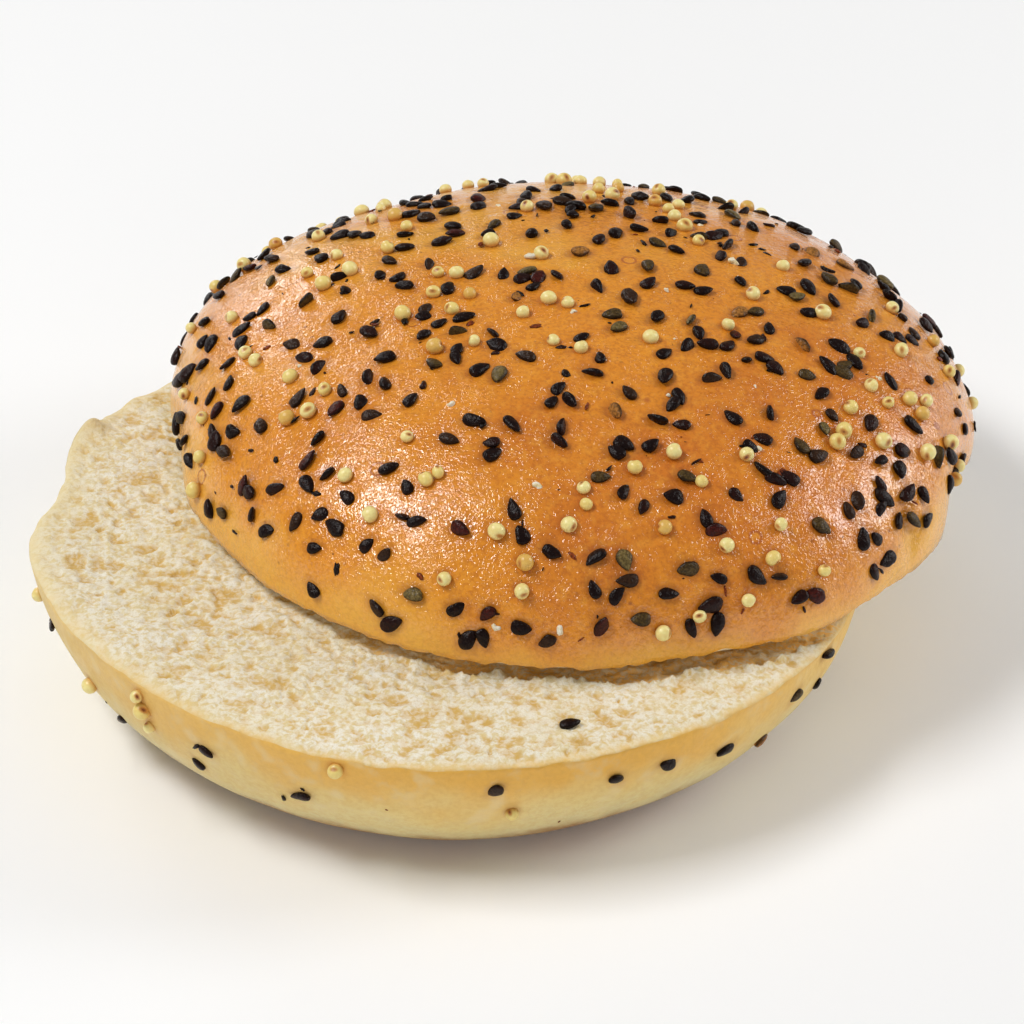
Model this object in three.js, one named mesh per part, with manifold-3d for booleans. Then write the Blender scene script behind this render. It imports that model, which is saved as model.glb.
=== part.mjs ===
// A round burger bun with a seeded top, sliced in two.
// The heel, the bottom half, stands on its flat base with its cut face up. The crown, the domed top
// half, lies on that face, pushed back and to the right, so that a crescent of crumb shows in front.
// Millimetres, +Z up, -Y to the front. The origin is the middle of the heel's flat base.
import * as THREE from 'three';
import { mergeVertices } from 'three/addons/utils/BufferGeometryUtils.js';
import Module from 'manifold-3d';

const wasm = await Module();
wasm.setup();

// Driving dimensions: millimetres, and degrees for turns
const BUN_DIAMETER = 110;
const BASE_DIAMETER = 80; // flat patch that the bun was baked on
const HEEL_HEIGHT = 19.4; // base to cut, at the middle
const HEEL_CUT_TILT = { x: -0.5, y: 1.2 }; // the knife went in lower at the back and at the right
const HEEL_SIDE_ROUND = 1.76; // 2 is an ellipse, less is flatter
const CROWN_HEIGHT = 26; // cut to top
const CROWN_ROUND = { across: 2.05, up: 2.18 };
const EVEN_SHARE = 0.7; // spaces the rings evenly over a dome of this flatness
const CROWN_SHIFT = { x: 16, y: 18.4 }; // from over the heel's middle, to the right and back
const CROWN_EDGE_LIFT = 2; // the crown's cut curls up to its edge by this much
const CROWN_EDGE_CURL = 8; // power of the curl: the higher, the nearer to the edge it starts
const REST_GAP = 0.5; // left between the two cut faces where they meet

// Unevenness round the two outlines: so many lobes of this height, in millimetres
const CROWN_LOBES = [
  { count: 3, height: 0.9, turn: 19 },
  { count: 4, height: 0.44, turn: 173 },
  { count: 5, height: 0.41, turn: -19 },
];
const HEEL_LOBES = [
  { count: 2, height: 0.13, turn: -142 },
  { count: 3, height: 0.25, turn: -49 },
  { count: 4, height: 0.21, turn: 65 },
  { count: 5, height: 0.2, turn: -124 },
];

// Places where the crown's edge is pinched in under the dome, and how far up the pinch is felt
const CROWN_PINCHES = [
  { at: -13, width: 8, depth: 2.6 },
  { at: 184, width: 11, depth: 1.5 },
];
const PINCH_REACH = 16;

// The heel's left rim is torn: it is bitten in, has a raised lip, and a pointed flake stands up from it
const TORN_BITE = { at: 168, width: 11, depth: 2 };
const TORN_LIP = { at: 162, width: 22, rise: 0.7 };
const TORN_FLAKE = { at: 155, width: 2.6, rise: 2.3 };

// Swells of the crust and waves of the cut crumb: straight waves that cross each other
const CRUST_SWELLS = [
  { length: 47, heading: 70, height: 0.32, phase: 10 },
  { length: 33, heading: 205, height: 0.26, phase: 140 },
  { length: 21, heading: 325, height: 0.17, phase: 250 },
];
const CRUMB_WAVES = [
  { length: 29, heading: 40, height: 0.16, phase: 30 },
  { length: 17, heading: 160, height: 0.13, phase: 200 },
  { length: 12, heading: 285, height: 0.12, phase: 310 },
];

// Seeds: black sesame lies flat, millet is a round grain. proud is how far a seed stands out of the
// crust, hem how deep a sesame seed's outline lies in it, and sunk how deep its lowest point does.
const SESAME = { length: 2.95, width: 1.9, proud: 0.64, hem: 0.12, sunk: 0.5 };
// A sesame seed's outline and ridge, as shares of half its length and half its width
const TEARDROP = { shoulder: 0.1, heel: -0.86, heelWidth: 0.62, ridge: [0.25, -0.5] };
const MILLET = { diameter: 2.1, proud: 1.4 };
const SEED_SIZES = { smallest: 0.82, largest: 1.14 };
const SESAME_SHARE = 0.76;
const SEED_SPACING = { closest: 1.5, loosest: 3.9 };
const CROWN_SEEDS = { scattered: 540, sesame: 190, millet: 66, lowest: 0.962, draw: 20261 };
const HEEL_SEEDS = { scattered: 34, sesame: 14, millet: 6, from: 0.34, to: 0.92, draw: 733 };
const STRAY_SEED = { x: 14.4, y: -46.4, heading: 20 }; // one that fell on the crumb

// Fineness of the faces
const RINGS = 14;
const SIDE_ROWS = 6;
const MERGE_DISTANCE = 1e-3;
const NORMAL_STEP = 0.004; // how far apart, in surface coordinates, points are taken for a normal

// Steps of an even random sequence
const RANDOM = { multiplier: 1664525, increment: 1013904223, modulus: 2 ** 32, skipped: 8 };

const CRUST_COLOUR = '#c98743';
const CRUST_ROUGHNESS = 0.45;
const CRUMB_COLOUR = '#ead8ad';
const CRUMB_ROUGHNESS = 0.8;

const TURN = 2 * Math.PI;
const radians = THREE.MathUtils.degToRad;
const bunRadius = BUN_DIAMETER / 2;
const baseRadius = BASE_DIAMETER / 2;

function lobes(list, angle) {
  return list.reduce((sum, lobe) => sum + lobe.height * Math.sin(lobe.count * angle + radians(lobe.turn)), 0);
}

function waves(list, x, y) {
  return list.reduce((sum, wave) => {
    const along = x * Math.cos(radians(wave.heading)) + y * Math.sin(radians(wave.heading));
    return sum + wave.height * Math.sin((TURN * along) / wave.length + radians(wave.phase));
  }, 0);
}

// A smooth bump round the outline, 1 at the given angle and fading to either side
function bump({ at, width }, angle) {
  const away = Math.atan2(Math.sin(angle - radians(at)), Math.cos(angle - radians(at)));
  return Math.exp(-((away / radians(width)) ** 2));
}

// The crown's crust, in the crown's own frame with its cut at z = 0. along runs from 0 at the top
// to 1 at the cut edge, in steps of nearly even length over the dome.
function crownCrust(along, angle) {
  const fall = (Math.PI / 2) * (EVEN_SHARE * along + (1 - EVEN_SHARE) * along ** 3);
  const across = Math.sin(fall) ** (2 / CROWN_ROUND.across);
  const height = along < 1 ? CROWN_HEIGHT * Math.cos(fall) ** (2 / CROWN_ROUND.up) : 0;
  const pinch = CROWN_PINCHES.reduce((sum, dent) => sum + dent.depth * bump(dent, angle), 0);
  const felt = Math.max(0, 1 - height / PINCH_REACH) ** 2;
  const radius = across * (bunRadius + lobes(CROWN_LOBES, angle)) - pinch * felt;
  const x = radius * Math.cos(angle);
  const y = radius * Math.sin(angle);
  const swell = 1 + waves(CRUST_SWELLS, x, y) / bunRadius;
  return new THREE.Vector3(x * swell, y * swell, height * swell);
}

// The crown's cut face, from its middle to its edge. Its soft crumb has settled on the heel, so its
// middle has the waves of the heel's face under it, and only its edge curls up.
function crownCut(along, angle) {
  const edge = crownCrust(1, angle);
  const x = along * edge.x;
  const y = along * edge.y;
  const settled = 1 - along ** CROWN_EDGE_CURL;
  const below = waves(CRUMB_WAVES, x + CROWN_SHIFT.x, y + CROWN_SHIFT.y) - CROWN_EDGE_LIFT;
  return new THREE.Vector3(x, y, settled * below);
}

// Height of the heel's cut plane over the base
function cutPlane(x, y) {
  return HEEL_HEIGHT + y * Math.tan(radians(HEEL_CUT_TILT.x)) - x * Math.tan(radians(HEEL_CUT_TILT.y));
}

// The heel's rim, where crust and crumb meet
function heelRim(angle) {
  const radius = bunRadius + lobes(HEEL_LOBES, angle) - TORN_BITE.depth * bump(TORN_BITE, angle);
  const x = radius * Math.cos(angle);
  const y = radius * Math.sin(angle);
  const torn = TORN_LIP.rise * bump(TORN_LIP, angle) + TORN_FLAKE.rise * bump(TORN_FLAKE, angle);
  return new THREE.Vector3(x, y, cutPlane(x, y) + waves(CRUMB_WAVES, x, y) + torn);
}

// The heel's cut face, from its middle to its rim
function heelCut(along, angle) {
  const rim = heelRim(angle);
  if (along === 1) return rim;
  const x = along * rim.x;
  const y = along * rim.y;
  return new THREE.Vector3(x, y, cutPlane(x, y) + waves(CRUMB_WAVES, x, y));
}

// The heel's side, from 0 at the base to 1 at the rim
function heelSide(up, angle) {
  const rim = heelRim(angle);
  const flare = (1 - (1 - up) ** HEEL_SIDE_ROUND) ** (1 / HEEL_SIDE_ROUND);
  const reach = (baseRadius + (bunRadius - baseRadius) * flare) / bunRadius;
  return new THREE.Vector3(reach * rim.x, reach * rim.y, up * rim.z);
}

// A disc of rings: one point in the middle, then six more points on each ring than on the last
function disc(place, faceUp) {
  const points = [place(0, 0)];
  const triangles = [];
  const index = (ring, i) => (ring === 0 ? 0 : 1 + 3 * ring * (ring - 1) + (i % (6 * ring)));
  const face = (a, b, c) => triangles.push(faceUp ? [a, b, c] : [a, c, b]);
  for (let ring = 1; ring <= RINGS; ring++) {
    for (let i = 0; i < 6 * ring; i++) {
      points.push(place(ring / RINGS, (TURN * i) / (6 * ring)));
    }
    for (let outer = 0; outer < 6 * ring; outer++) {
      const inner = outer - Math.floor(outer / ring);
      face(index(ring, outer), index(ring, outer + 1), index(ring - 1, inner));
      if ((outer + 1) % ring !== 0) {
        face(index(ring - 1, inner), index(ring, outer + 1), index(ring - 1, inner + 1));
      }
    }
  }
  return { points, triangles };
}

// A wall of rows with as many points round it as a disc has on its edge
function wall(place) {
  const around = 6 * RINGS;
  const points = [];
  const triangles = [];
  for (let row = 0; row <= SIDE_ROWS; row++) {
    for (let i = 0; i < around; i++) {
      points.push(place(row / SIDE_ROWS, (TURN * i) / around));
    }
  }
  for (let row = 0; row < SIDE_ROWS; row++) {
    for (let i = 0; i < around; i++) {
      const here = row * around + i;
      const next = row * around + ((i + 1) % around);
      triangles.push([here, next, next + around], [here, next + around, here + around]);
    }
  }
  return { points, triangles };
}

// The flat base, a fan round the origin
function baseFan() {
  const around = 6 * RINGS;
  const points = [new THREE.Vector3(0, 0, 0)];
  const triangles = [];
  for (let i = 0; i < around; i++) {
    points.push(heelSide(0, (TURN * i) / around));
    triangles.push([0, 1 + ((i + 1) % around), 1 + i]);
  }
  return { points, triangles };
}

// One closed geometry from surfaces that meet at their edges
function closedGeometry(surfaces) {
  const positions = [];
  const indices = [];
  for (const { points, triangles } of surfaces) {
    const first = positions.length / 3;
    points.forEach((point) => positions.push(point.x, point.y, point.z));
    triangles.forEach((triangle) => indices.push(...triangle.map((corner) => first + corner)));
  }
  const geometry = new THREE.BufferGeometry();
  geometry.setAttribute('position', new THREE.Float32BufferAttribute(positions, 3));
  geometry.setIndex(indices);
  return mergeVertices(geometry, MERGE_DISTANCE);
}

function toSolid(geometry) {
  const vertProperties = new Float32Array(geometry.attributes.position.array);
  const triVerts = new Uint32Array(geometry.index.array);
  return new wasm.Manifold(new wasm.Mesh({ numProp: 3, vertProperties, triVerts }));
}

function toGeometry(solid) {
  const mesh = solid.getMesh();
  const geometry = new THREE.BufferGeometry();
  geometry.setAttribute('position', new THREE.BufferAttribute(new Float32Array(mesh.vertProperties), 3));
  geometry.setIndex(new THREE.BufferAttribute(new Uint32Array(mesh.triVerts), 1));
  geometry.computeVertexNormals();
  return geometry;
}

// A sesame seed lying along +X with its flat face on z = 0: a teardrop of five points, a ridge of
// two points on top and one point below, inside the crust
function sesameGeometry(size) {
  const tip = (SESAME.length / 2) * size;
  const half = (SESAME.width / 2) * size;
  const { shoulder, heel, heelWidth, ridge } = TEARDROP;
  const points = [
    new THREE.Vector3(tip, 0, -SESAME.hem),
    new THREE.Vector3(shoulder * tip, half, -SESAME.hem),
    new THREE.Vector3(heel * tip, heelWidth * half, -SESAME.hem),
    new THREE.Vector3(heel * tip, -heelWidth * half, -SESAME.hem),
    new THREE.Vector3(shoulder * tip, -half, -SESAME.hem),
    new THREE.Vector3(ridge[0] * tip, 0, SESAME.proud * size),
    new THREE.Vector3(ridge[1] * tip, 0, SESAME.proud * size),
    new THREE.Vector3(0, 0, -SESAME.sunk),
  ];
  const above = [[0, 1, 5], [1, 2, 6], [2, 3, 6], [3, 4, 6], [4, 0, 5], [1, 6, 5], [4, 5, 6]];
  const below = [[1, 0, 7], [2, 1, 7], [3, 2, 7], [4, 3, 7], [0, 4, 7]];
  return closedGeometry([{ points, triangles: [...above, ...below] }]);
}

// A millet grain that stands out of the crust
function milletGeometry(size) {
  const radius = (MILLET.diameter / 2) * size;
  const geometry = new THREE.IcosahedronGeometry(radius, 0);
  geometry.deleteAttribute('normal');
  geometry.deleteAttribute('uv');
  geometry.translate(0, 0, MILLET.proud * size - radius);
  return mergeVertices(geometry, MERGE_DISTANCE);
}

// Even random numbers from 0 to 1, the same on every run
function seededRandom(state) {
  const next = () => {
    state = (RANDOM.multiplier * state + RANDOM.increment) % RANDOM.modulus;
    return state / RANDOM.modulus;
  };
  for (let i = 0; i < RANDOM.skipped; i++) next();
  return next;
}

// Scatters seeds over a surface. Each draw is a spot, kept or passed over in step with how much surface
// it stands for, and a seed that would crowd an earlier one is passed over too.
function scatter(surface, { scattered, draw }, [from, to], share) {
  const random = seededRandom(draw);
  const seeds = [];
  while (seeds.length < scattered) {
    const along = from + (to - from) * random();
    const angle = TURN * random();
    if (random() > share(along)) continue;
    const seed = {
      along,
      angle,
      kind: random() < SESAME_SHARE ? 'sesame' : 'millet',
      size: SEED_SIZES.smallest + (SEED_SIZES.largest - SEED_SIZES.smallest) * random(),
      heading: TURN * random(),
      point: surface(along, angle),
    };
    const room = SEED_SPACING.closest + (SEED_SPACING.loosest - SEED_SPACING.closest) * random() ** 2;
    const crowded = seeds.some((other) => other.point.distanceTo(seed.point) < room);
    if (!crowded) seeds.push(seed);
  }
  return seeds;
}

// The largest seeds of each kind
function largest(seeds, { sesame, millet }) {
  const bySize = [...seeds].sort((a, b) => b.size - a.size);
  const ofKind = (kind, count) => bySize.filter((seed) => seed.kind === kind).slice(0, count);
  return [...ofKind('sesame', sesame), ...ofKind('millet', millet)];
}

// Where a seed sits: its Z along the outward normal, its X along its heading over the surface
function seat(surface, { along, angle, heading, point }) {
  const step = NORMAL_STEP;
  const down = surface(along + step, angle).sub(surface(along - step, angle));
  const round = surface(along, angle + step).sub(surface(along, angle - step));
  const outward = new THREE.Vector3().crossVectors(down, round).normalize();
  if (outward.dot(point) < 0) outward.negate();
  const side = new THREE.Vector3().crossVectors(outward, round).normalize();
  const forward = round.normalize().multiplyScalar(Math.cos(heading));
  forward.addScaledVector(side, Math.sin(heading));
  const left = new THREE.Vector3().crossVectors(outward, forward);
  return new THREE.Matrix4().makeBasis(forward, left, outward).setPosition(point);
}

// Fuses seeds to the crust that they lie on
function withSeeds(solid, surface, seeds) {
  return seeds.reduce((sum, seed) => {
    const geometry = seed.kind === 'sesame' ? sesameGeometry(seed.size) : milletGeometry(seed.size);
    return sum.add(toSolid(geometry.applyMatrix4(seat(surface, seed))));
  }, solid);
}

function foodMesh(name, solid, colour, roughness) {
  const material = new THREE.MeshStandardMaterial({ color: colour, roughness, metalness: 0 });
  const mesh = new THREE.Mesh(toGeometry(solid), material);
  mesh.name = name;
  return mesh;
}

function makeCrown() {
  const bare = toSolid(closedGeometry([disc(crownCrust, true), disc(crownCut, false)]));
  const surfaceShare = (along) => Math.sin((Math.PI / 2) * along);
  const seeds = scatter(crownCrust, CROWN_SEEDS, [0, CROWN_SEEDS.lowest], surfaceShare);
  const seeded = withSeeds(bare, crownCrust, largest(seeds, CROWN_SEEDS));
  const crown = foodMesh('crown', seeded, CRUST_COLOUR, CRUST_ROUGHNESS);
  const cutHeight = cutPlane(CROWN_SHIFT.x, CROWN_SHIFT.y) + REST_GAP + CROWN_EDGE_LIFT;
  crown.position.set(CROWN_SHIFT.x, CROWN_SHIFT.y, cutHeight);
  crown.rotation.set(radians(HEEL_CUT_TILT.x), radians(HEEL_CUT_TILT.y), 0);
  return crown;
}

function makeHeel() {
  const bare = toSolid(closedGeometry([disc(heelCut, true), wall(heelSide), baseFan()]));
  const seeds = scatter(heelSide, HEEL_SEEDS, [HEEL_SEEDS.from, HEEL_SEEDS.to], () => 1);
  const stray = new THREE.Vector3(STRAY_SEED.x, STRAY_SEED.y, 0);
  stray.z = cutPlane(stray.x, stray.y) + waves(CRUMB_WAVES, stray.x, stray.y);
  const laid = sesameGeometry(1).rotateZ(radians(STRAY_SEED.heading)).translate(stray.x, stray.y, stray.z);
  const seeded = withSeeds(bare, heelSide, largest(seeds, HEEL_SEEDS)).add(toSolid(laid));
  return foodMesh('heel', seeded, CRUMB_COLOUR, CRUMB_ROUGHNESS);
}

const bun = new THREE.Group();
bun.add(makeHeel(), makeCrown());

export default bun;
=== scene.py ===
import math

import bpy
import numpy as np
from mathutils import Color, Matrix, Vector


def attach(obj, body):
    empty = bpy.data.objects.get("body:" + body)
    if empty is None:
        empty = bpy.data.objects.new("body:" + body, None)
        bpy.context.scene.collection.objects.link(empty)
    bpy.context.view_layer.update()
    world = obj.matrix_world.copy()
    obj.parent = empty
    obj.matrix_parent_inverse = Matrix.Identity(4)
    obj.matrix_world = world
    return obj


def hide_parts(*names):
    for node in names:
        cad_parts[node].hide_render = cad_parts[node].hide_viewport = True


# A seeded burger bun, cut in two: the looks of its crust, crumb and seeds.
# Sizes are in millimetres and turns in degrees, as in the solid model, and meshes are made in metres.
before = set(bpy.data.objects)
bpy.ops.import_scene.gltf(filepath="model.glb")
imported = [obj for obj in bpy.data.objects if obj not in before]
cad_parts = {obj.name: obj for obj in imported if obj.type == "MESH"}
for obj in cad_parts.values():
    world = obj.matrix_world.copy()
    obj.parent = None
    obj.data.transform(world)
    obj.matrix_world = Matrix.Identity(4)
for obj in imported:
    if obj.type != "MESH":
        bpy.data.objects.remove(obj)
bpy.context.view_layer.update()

MM = 0.001
TURN = 2 * math.pi
TINY = 1e-12

# Driving dimensions, the same as the solids have
BUN_RADIUS = 55.0
BASE_RADIUS = 40.0
HEEL_HEIGHT = 19.4
HEEL_CUT_TILT = {"x": -0.5, "y": 1.2}
HEEL_SIDE_ROUND = 1.76
CROWN_HEIGHT = 26.0
CROWN_ROUND = {"across": 2.05, "up": 2.18}
EVEN_SHARE = 0.7
CROWN_SHIFT = {"x": 16.0, "y": 18.4}
CROWN_EDGE_LIFT = 2.0
CROWN_EDGE_CURL = 8
REST_GAP = 0.5

# Lobes round the outlines: count, height and turn
CROWN_LOBES = [(3, 0.9, 19), (4, 0.44, 173), (5, 0.41, -19)]
HEEL_LOBES = [(2, 0.13, -142), (3, 0.25, -49), (4, 0.21, 65), (5, 0.2, -124)]

# Bumps round the outlines: where, how wide and how high
CROWN_PINCHES = [(-13, 8, 2.6), (184, 11, 1.5)]
PINCH_REACH = 16.0
TORN_BITE = (168, 11, 2.0)
TORN_LIP = (162, 22, 0.7)
TORN_FLAKE = (155, 2.6, 2.3)

# Straight waves that cross each other: length, heading, height and phase
CRUST_SWELLS = [(47, 70, 0.32, 10), (33, 205, 0.26, 140), (21, 325, 0.17, 250)]
CRUMB_WAVES = [(29, 40, 0.16, 30), (17, 160, 0.13, 200), (12, 285, 0.12, 310)]

# Seeds, as the solids have them, apart from the draws for each kind's looks
SESAME = {"length": 2.95, "width": 1.9, "thickness": 0.95, "proud": 0.66, "draw": 4}
MILLET = {"diameter": 2.05, "proud": 1.45, "draw": 9}
SEED_SIZES = (0.82, 1.14)
SESAME_SHARE = 0.76
SEED_SPACING = (1.5, 3.9)
CROWN_SEEDS = {"scattered": 540, "from": 0.0, "to": 0.962, "draw": 20261}
HEEL_SEEDS = {"scattered": 34, "from": 0.34, "to": 0.92, "draw": 733}
STRAY_SEED = {"x": 14.4, "y": -46.4, "heading": 20, "lift": 0.3}
RANDOM = {"multiplier": 1664525, "increment": 1013904223, "modulus": 2 ** 32, "skipped": 8}
NORMAL_STEP = 0.004

# Layers of noise: size, height and the noise's own number
CRUST_UNEVEN = [(9, 0.26, 41), (3.4, 0.06, 42), (1.5, 0.015, 43)]
EDGE_NICKS = [(2.6, 0.34, 44), (1.0, 0.24, 45)]
CRUMB_SWAYS = [[(1.9, 0.6, 5), (0.8, 0.5, 15)], [(1.9, 0.6, 6), (0.8, 0.5, 16)]]
CRUMB_SWELL = [(2.6, 0.12, 9)]
CREST_LINE = [(5.0, 1.5, 61), (1.8, 1.0, 62), (0.8, 0.5, 67)]
CREST_TUFTS = [(1.1, 0.7, 65), (0.6, 0.9, 66)]
POCKET_DEPTHS = [(3.0, 0.6, 68)]
RIM_RAGGED = [(3.2, 0.28, 63), (1.5, 0.16, 64)]
SIDE_UNEVEN = [(10, 0.2, 51), (4, 0.07, 52)]
# The same with the height in radians, and in shares of the radius
FOLD_SWAY = [(4, 0.03, 46)]
SKIN_RAGGED = [(3.0, 0.012, 69), (1.0, 0.008, 70)]

# What mixes a noise cell's place into a random number
CELL_MIX = {"x": 374761393, "y": 668265263, "z": 1274126177, "number": 144269}
CELL_SHIFTS = (13, 16)
LOW_32_BITS = 0xFFFFFFFF
LOW_16_BITS = 0xFFFF

# Pores of the crumb, by size: spacing, share that is open, depth, and a number for the noise
CRUMB_PORES = [(6.0, 0.14, 0.22, 11), (2.6, 0.24, 0.24, 23), (1.6, 0.05, 0.5, 31), (1.5, 0.36, 0.16, 37),
               (1.0, 0.7, 0.1, 53)]
# One pore: the smallest and what is added at most, as shares of the spacing, how narrow and how round it is
PORE_SHAPE = {"smallest": 0.28, "spread": 0.42, "narrow": 0.62, "round": 0.7}
DEEPEST_PORE = 1.2
# The crumb's web of walls and the puffs between them, as layers of noise
CRUMB_WEB = [(2.0, 0.6, 7)]
CRUMB_PUFFS = [(1.0, 0.4, 8)]
# Where the web starts from, how high web and puffs stand, and the level below which a crease gets painted
# shade
CLUMPS = {"level": 0.288, "height": 0.55, "crease": 0.24}
# How much painted shade pores and creases put on the crumb, and how far its relief is lifted
HOLLOWS = {"pores": 1.3, "creases": 1.4}
CRUMB_LIFT = 0.15

# The crumb torn up in front of the crown's edge: radii from the crown's middle, heights, and shares
TORN_CREST = {"at": 55.4, "width": 0.8, "height": 0.8, "tufted": 0.35}
TORN_POCKET = {"from": 46.0, "full": 50.0, "depth": 0.5, "open": 0.75}
TORN_PLACE = (-77, 42, 1.5)

# The crown's crust: a soft fold from part of the way down, and the edge pushed in, up to a height
FOLD = {"place": (-36, 1.8, 0.9), "from": 0.8, "full": 0.925}
SQUEEZE = {"place": (-17, 10, 1.5), "reach": 11.0}
# Shares of the way out: where the dome turns to the nicked edge, and where the cut face below turns smooth
NICKED_FROM = 0.95
SMOOTH_UNDER_FROM = 11 / 12
SEED_DENT = 0.12
# How far round a seed its dent is looked for, and between which multiples of its outline the dent fades
# The same nearness also sets each seed's halo, partly caramel and partly painted contact shade
SEED_TOUCH = {"within": 3, "fades": 1.7, "full": 1.0}

# How brown the crown is baked: at the edge, what the dome adds by this height, and where it is brownest
BAKED_EDGE = 0.2
BAKED_DOME = {"more": 0.3, "height": 14}
BROWNEST = {"place": (-66, 56, 0.36), "fades_in": (0, 6), "fades_out": (27, 21)}
# Where its edge and its back stay pale
PALE_EDGES = [(-140, 45, 0.3), (-28, 20, 0.6)]
PALE_BACK = (125, 70, 0.2)

# The heel. Where its golden band fades, and where its rim is torn
PALE_SIDES = [(174, 60, 0.85), (-28, 24, 0.4)]
TORN_SIDE = (160, 28, 0.9)
# Its rim, by share of its radius: where it rounds off, where its skin starts, and where that is wider
RIM_ROUND = {"from": 0.965, "drop": 0.6}
RIM_SKIN = 0.97
WIDE_SKIN = (178, 36, 0.1)
# How steeply the crumb's relief ends at the rim, where it ends more softly, and from where the rim is torn up
RELIEF_END = {"steep": 36, "least": 10}
SOFT_END = (178, 40, 26)
TORN_FROM = 0.93
# The torn rim's scallops: how wide each is, how far they stand out, and from where on the cut and up the side
SCALLOPS = {"width": 5.0, "reach": 1.6, "cut_from": 0.88, "side_from": 0.7, "number": 75}
# Up to what share of its height the side is even at the base
SIDE_EVEN = 0.125

# Sesame: powers that shape its outline, how the seeds differ, and how far about their noise is drawn
SESAME_OUTLINE = {"blunt_end": 0.44, "tip": 0.74, "back": 0.42, "thick_end": 0.25, "square": 0.88, "rim": 5}
SESAME_STRETCH = ([0.86, 0.84, 0.9], [1.02, 1.06, 1.2])
SESAME_DENTS = [(0.8, 0.12, 71)]
SESAME_BEND = {"up": 0.06, "aside": 0.09}
SESAME_TURN = {"lean": 0.15, "roll": 0.28}
SESAME_ON_EDGE = {"share": 0.1, "roll": (0.9, 1.4), "lift": 0.35}
NOISE_APART = 90

# Millet: how its grains differ, the heights in radii between which painted shade darkens it, and its germ
MILLET_WIDTHS = (0.88, 1.0)
MILLET_HEIGHTS = (0.86, 1.0)
MILLET_SHADED_HEIGHTS = (0.35, -0.45)
GERM = {"tilt": (30, 85), "length": 0.56, "width": 0.32, "dent": 0.16, "strength": (0.6, 1.0)}

# Broken bits of seed skin and loose crumbs: counts, sizes, and shapes in shares of their length
CHIPS = {"crown": 260, "heel": 14, "longest": 1.8, "draw": 52}
CHIP_SHAPE = {"length": (0.12, 1), "mostly_short": 1.7, "width": (0.2, 0.75), "thickness": (0.2, 0.4),
              "lumps": (0.65, 1.2), "lift": 0.12}
LOOSE_CRUMBS = {"crown": 24, "largest": 1.3, "draw": 67}
LOOSE_SHAPE = {"length": (0.3, 1), "width": (0.7, 1.0), "height": 0.7, "lumps": [(0.9, 0.8, 73)], "lift": 0.4}

# Fineness of the meshes: rings, rows, and for small things rows and points around
CROWN_RINGS = 128
HEEL_RINGS = 165
HEEL_ROWS = 16
SESAME_GRID = (12, 16)
CHIP_GRID = (6, 8)
LOOSE_GRID = (8, 10)
MILLET_GRID = (16, 24)

# Colours as red, green and blue from 0 to 255
CRUST = {"edge": (240, 176, 60), "gold": (231, 146, 32), "brown": (208, 117, 26), "patch": (240, 164, 56),
         "speck": (158, 76, 20), "freckle": (110, 45, 18), "ring": (158, 70, 30), "caramel_and_seed_shade": (140, 62, 24)}
CRUMB = {"cream": (241, 236, 221), "warm": (238, 229, 205), "fluff": (222, 200, 140),
         "grain": (198, 174, 130), "cell": (219, 189, 118), "pore_shade": (211, 171, 92), "pocket_shade": (255, 200, 112),
         "skin": (234, 220, 174), "gold": (233, 184, 92)}
SIDE = {"low": (222, 211, 160), "middle": (229, 205, 136), "band": (233, 176, 72), "speck": (204, 150, 70),
        "blotch": (232, 216, 170), "torn": (234, 221, 180), "toast": (168, 112, 50),
        "caramel_and_seed_shade": (176, 104, 46)}
SESAME_SKIN = {"fleck": (100, 56, 30), "dark": (22, 10, 8), "rim": (16, 7, 6)}
MILLET_SKIN = {"mottle": (226, 188, 100), "shaded_base": (200, 138, 56), "halo": (190, 118, 48),
               "germ": (122, 60, 26)}
FLOOR_COLOUR = (250, 250, 250)
# Tones of single seeds, with the share of seeds up to and with each
SESAME_TONES = [
    (0.5, (20, 6, 5)), (0.72, (38, 13, 9)), (0.82, (54, 34, 20)), (0.9, (84, 66, 34)),
    (0.94, (122, 104, 60)), (0.96, (178, 120, 56)), (1.0, (72, 22, 16)),
]
CHIP_TONES = [(0.55, (20, 12, 9)), (0.78, (48, 20, 12)), (1.0, (140, 64, 28))]
MILLET_TONES = [(0.5, (242, 228, 154)), (0.85, (236, 213, 128)), (1.0, (220, 174, 86))]

# Patterns of the materials by size, and the depth of those that show as relief
CRUST_SIZE = {"bake": 14, "patch": 1.8, "speck": 0.6, "freckle": 2.6, "freckled": 9, "ring": 8.5,
              "wrinkle": 0.46, "wrinkled": 4.5, "dimple": 2.4}
CRUST_DEPTH = {"dimple": 0.16, "ring": 0.05, "wrinkle": 0.05, "glaze": 0.2}
CRUMB_SIZE = {"drift": 9, "fluff": 0.75, "grain": 0.2, "cell": 1.1, "sway": 1.3, "open": 2.4, "gold": 1.6}
CRUMB_DEPTH = {"cell": 0.04, "fluff": 0.09, "grain": 0.04}
CELL_SWAY = 0.3
SIDE_SIZE = {"drift": 11, "speck": 0.8, "blotch": 3.2, "torn": 2.2, "dimple": 2.4, "gloss": 4}
SIDE_DEPTH = {"dimple": 0.2, "speck": 0.12}
SESAME_SIZE = {"fleck": 0.55, "dark": 0.3, "wrinkle": 0.5}
SESAME_DEPTH = 0.19
MILLET_SIZE = {"mottle": 0.7, "grain": 0.3}
MILLET_DEPTH = 0.04

# Sockets of the node that mixes colours
MIX_SOCKETS = {"factor": 0, "first": 6, "second": 7, "result": 2}
# A noise node's middle, and how far it mostly goes to either side
NOISE_MIDDLE = 0.5
NOISE_SPREAD = 0.25

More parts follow.
